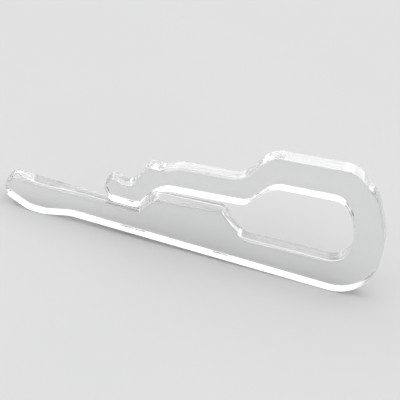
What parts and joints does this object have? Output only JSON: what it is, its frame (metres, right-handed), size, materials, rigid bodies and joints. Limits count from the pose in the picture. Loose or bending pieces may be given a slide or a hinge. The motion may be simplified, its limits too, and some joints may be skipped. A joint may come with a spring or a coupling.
{
  "type": "spring clip",
  "caption": "Clear one-piece moulded spring clip: a long lower arm with finger tab and gripping block, a U-bend, and a springy upper jaw whose rounded nose closes over the lower arm.",
  "frame": {"origin": "middle of the clip's box at its lowest level, where the clip stands on its lower edge", "axes": "+X along the clip from the finger tab to the bend, +Y through its width, +Z from the lower arm to the upper arm"},
  "size_m": [0.045, 0.003, 0.0154],
  "materials": {
    "clear_plastic": "colourless see-through moulded plastic, polished faces and rounded rims, fine handling scratches and a faint parting line round the edge"
  },
  "bodies": {
    "gripping_block": {"gripping_block": "clear_plastic"},
    "finger_tab": {"finger_tab": "clear_plastic"},
    "lower_leg": {"lower_leg": "clear_plastic"},
    "u_bend": {"u_bend": "clear_plastic"},
    "upper_leg": {"upper_leg": "clear_plastic"},
    "jaw_arm": {"jaw_arm": "clear_plastic"}
  },
  "joints": [
    {"name": "lower_leg_flex", "type": "hinge", "parent": "gripping_block", "child": "lower_leg", "pos_m": [0.00633, 0, 0.00186], "axis": [0, 1, 0], "range_deg": [0, 1.8], "stiffness_Nm_per_rad": 2.74},
    {"name": "lower_bend_flex", "type": "hinge", "parent": "lower_leg", "child": "u_bend", "pos_m": [0.01603, 0, 0.00191], "axis": [0, 1, 0], "range_deg": [0, 4], "stiffness_Nm_per_rad": 1.83},
    {"name": "upper_bend_flex", "type": "hinge", "parent": "u_bend", "child": "upper_leg", "pos_m": [0.01581, 0, 0.01327], "axis": [0, 1, 0], "range_deg": [0, 3.8], "stiffness_Nm_per_rad": 1.79},
    {"name": "jaw_flex", "type": "hinge", "parent": "upper_leg", "child": "jaw_arm", "pos_m": [0.00409, 0, 0.00913], "axis": [0, 1, 0], "range_deg": [0, 3.1], "stiffness_Nm_per_rad": 1.02},
    {"name": "tab_flex", "type": "hinge", "parent": "gripping_block", "child": "finger_tab", "pos_m": [-0.00757, 0, 0.00193], "axis": [0, -1, 0], "range_deg": [0, 0.75], "stiffness_Nm_per_rad": 0.94}
  ],
  "couplings": [
    {"joint": "lower_bend_flex", "follows": "lower_leg_flex", "ratio": 2.2},
    {"joint": "upper_bend_flex", "follows": "lower_leg_flex", "ratio": 2.1},
    {"joint": "jaw_flex", "follows": "lower_leg_flex", "ratio": 1.7},
    {"joint": "tab_flex", "follows": "lower_leg_flex", "ratio": 0.4}
  ]
}
